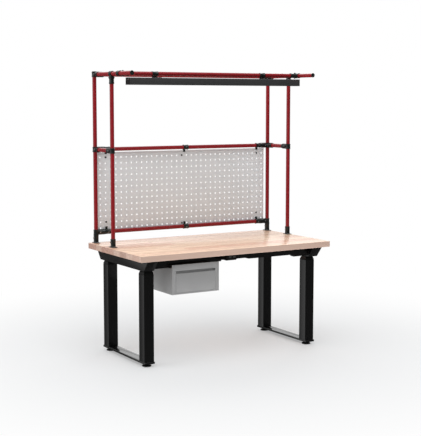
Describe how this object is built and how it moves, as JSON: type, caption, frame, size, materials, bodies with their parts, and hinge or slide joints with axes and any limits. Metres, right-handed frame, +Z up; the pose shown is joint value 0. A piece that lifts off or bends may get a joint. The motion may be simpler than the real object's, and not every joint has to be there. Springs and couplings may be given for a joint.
{
  "type": "height-adjustable workbench",
  "caption": "Sit-stand workbench with a thick wooden top on telescopic columns, an under-top drawer, and a pipe rack that carries a perforated panel and a light bar.",
  "frame": {"origin": "on the floor, under the middle of the worktop", "axes": "+X to the right as seen from the front, +Y to the rear where the perforated panel stands, +Z up"},
  "size_m": [1.5, 0.8, 1.9365],
  "materials": {
    "black_frame": "satin black powder coat",
    "black_plastic": "fine-textured black plastic",
    "button_plastic": "smooth black plastic",
    "zinc_steel": "zinc plated",
    "beech": "clear lacquered beech staves",
    "drawer_paint": "grey powder coat",
    "joint_coat": "glossy black electrocoat",
    "red_pipe": "glossy dark red plastic coat on steel pipe",
    "panel_paint": "light grey powder coat",
    "light_coat": "dark grey anodised look",
    "opal_cover": "opal",
    "board_white": "white board"
  },
  "bodies": {
    "base": {"base_plate_left": "black_frame", "base_plate_right": "black_frame", "outer_column_front_left": "black_frame", "outer_column_front_right": "black_frame", "outer_column_rear_left": "black_frame", "outer_column_rear_right": "black_frame"},
    "foot_front_left": {"foot_front_left": "black_plastic"},
    "foot_front_right": {"foot_front_right": "black_plastic"},
    "foot_rear_left": {"foot_rear_left": "black_plastic"},
    "foot_rear_right": {"foot_rear_right": "black_plastic"},
    "lift": {"inner_column_front_left": "zinc_steel", "inner_column_front_right": "zinc_steel", "inner_column_rear_left": "zinc_steel", "inner_column_rear_right": "zinc_steel", "side_rail_left": "black_frame", "side_rail_right": "black_frame", "front_beam": "black_frame", "rear_beam": "black_frame", "worktop": "beech", "control_box": "black_plastic", "handset": "black_plastic", "drawer_housing": "drawer_paint", "socket_front_left": "joint_coat", "socket_front_right": "joint_coat", "socket_rear_left": "joint_coat", "socket_rear_right": "joint_coat", "upright_front_left": "red_pipe", "upright_front_right": "red_pipe", "upright_rear_left": "red_pipe", "upright_rear_right": "red_pipe", "mid_side_rail_left": "red_pipe", "mid_side_rail_right": "red_pipe", "top_side_rail_left": "red_pipe", "top_side_rail_right": "red_pipe", "panel_rail_lower": "red_pipe", "panel_rail_upper": "red_pipe", "top_bar_front": "red_pipe", "top_bar_rear": "red_pipe", "mid_corner_left": "joint_coat", "mid_corner_right": "joint_coat", "top_corner_left": "joint_coat", "top_corner_right": "joint_coat", "mid_tee_left": "joint_coat", "mid_tee_right": "joint_coat", "top_tee_left": "joint_coat", "top_tee_right": "joint_coat", "bar_tee_left": "joint_coat", "bar_tee_right": "joint_coat", "perforated_panel": "panel_paint", "light_housing": "light_coat", "light_diffuser": "opal_cover", "led_board": "board_white"},
    "lead_screw_front_left": {"lead_screw_front_left": "zinc_steel"},
    "lead_screw_front_right": {"lead_screw_front_right": "zinc_steel"},
    "lead_screw_rear_left": {"lead_screw_rear_left": "zinc_steel"},
    "lead_screw_rear_right": {"lead_screw_rear_right": "zinc_steel"},
    "drawer": {"drawer_box": "drawer_paint", "drawer_front": "drawer_paint"},
    "button_down": {"button_down": "button_plastic"},
    "button_up": {"button_up": "button_plastic"}
  },
  "joints": [
    {"name": "lift_slide", "type": "slide", "parent": "base", "child": "lift", "axis": [0, 0, 1], "range_m": [0, 0.4]},
    {"name": "foot_front_left_screw", "type": "slide", "parent": "base", "child": "foot_front_left", "axis": [0, 0, -1], "range_m": [0, 0.012]},
    {"name": "foot_front_right_screw", "type": "slide", "parent": "base", "child": "foot_front_right", "axis": [0, 0, -1], "range_m": [0, 0.012]},
    {"name": "foot_rear_left_screw", "type": "slide", "parent": "base", "child": "foot_rear_left", "axis": [0, 0, -1], "range_m": [0, 0.012]},
    {"name": "foot_rear_right_screw", "type": "slide", "parent": "base", "child": "foot_rear_right", "axis": [0, 0, -1], "range_m": [0, 0.012]},
    {"name": "screw_front_left_turn", "type": "hinge", "parent": "lift", "child": "lead_screw_front_left", "pos_m": [-0.646, -0.2675, 0.3], "axis": [0, 0, 1], "range_deg": [0, 14400]},
    {"name": "screw_front_right_turn", "type": "hinge", "parent": "lift", "child": "lead_screw_front_right", "pos_m": [0.646, -0.2675, 0.3], "axis": [0, 0, 1], "range_deg": [0, 14400]},
    {"name": "screw_rear_left_turn", "type": "hinge", "parent": "lift", "child": "lead_screw_rear_left", "pos_m": [-0.646, 0.2675, 0.3], "axis": [0, 0, 1], "range_deg": [0, 14400]},
    {"name": "screw_rear_right_turn", "type": "hinge", "parent": "lift", "child": "lead_screw_rear_right", "pos_m": [0.646, 0.2675, 0.3], "axis": [0, 0, 1], "range_deg": [0, 14400]},
    {"name": "drawer_slide", "type": "slide", "parent": "lift", "child": "drawer", "axis": [0, -1, 0], "range_m": [0, 0.36]},
    {"name": "button_down_press", "type": "slide", "parent": "lift", "child": "button_down", "axis": [0, 1, 0], "range_m": [0, 0.0015], "stiffness_N_per_m": 400},
    {"name": "button_up_press", "type": "slide", "parent": "lift", "child": "button_up", "axis": [0, 1, 0], "range_m": [0, 0.0015], "stiffness_N_per_m": 400}
  ],
  "couplings": [
    {"joint": "screw_front_left_turn", "follows": "lift_slide", "rad_per_m": 628.32},
    {"joint": "screw_front_right_turn", "follows": "lift_slide", "rad_per_m": 628.32},
    {"joint": "screw_rear_left_turn", "follows": "lift_slide", "rad_per_m": 628.32},
    {"joint": "screw_rear_right_turn", "follows": "lift_slide", "rad_per_m": 628.32}
  ]
}
